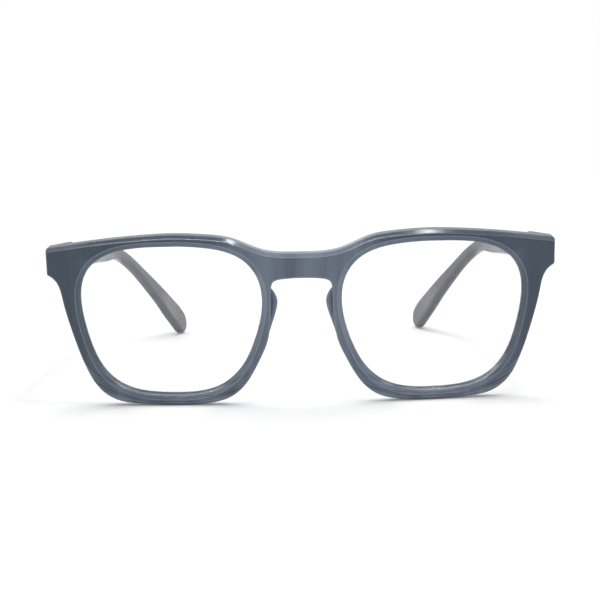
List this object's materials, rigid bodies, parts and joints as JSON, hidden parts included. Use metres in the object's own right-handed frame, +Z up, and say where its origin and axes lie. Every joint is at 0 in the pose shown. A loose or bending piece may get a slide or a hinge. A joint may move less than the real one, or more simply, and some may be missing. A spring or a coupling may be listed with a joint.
{
  "type": "eyeglasses",
  "caption": "Square acetate eyeglasses with clear lenses, a keyhole bridge, built-up nose pads and two temples that fold on barrel hinges.",
  "frame": {"origin": "on the surface that the glasses stand on, under the middle of their outer box", "axes": "+Z up, +X towards the wearer's left end piece, +Y back along the open temples, away from the face of the lenses"},
  "size_m": [0.141, 0.1374, 0.0482],
  "materials": {
    "acetate": "polished",
    "lens": "polished",
    "steel": "polished",
    "core": "satin"
  },
  "bodies": {
    "front_body": {"front": "acetate", "lens_left": "lens", "lens_right": "lens", "nose_pad_left": "acetate", "nose_pad_right": "acetate", "front_hinge_left": "steel", "front_hinge_right": "steel", "hinge_screw_left": "steel", "hinge_screw_right": "steel"},
    "temple_body_left": {"temple_left": "acetate", "temple_hinge_left": "steel", "core_wire_left": "core"},
    "temple_body_right": {"temple_right": "acetate", "temple_hinge_right": "steel", "core_wire_right": "core"}
  },
  "joints": [
    {"name": "fold_left", "type": "hinge", "parent": "front_body", "child": "temple_body_left", "pos_m": [0.0649, -0.05521, 0.04114], "axis": [0, 0, 1], "range_deg": [0, 80]},
    {"name": "fold_right", "type": "hinge", "parent": "front_body", "child": "temple_body_right", "pos_m": [-0.0649, -0.05521, 0.04114], "axis": [0, 0, -1], "range_deg": [0, 70]}
  ]
}
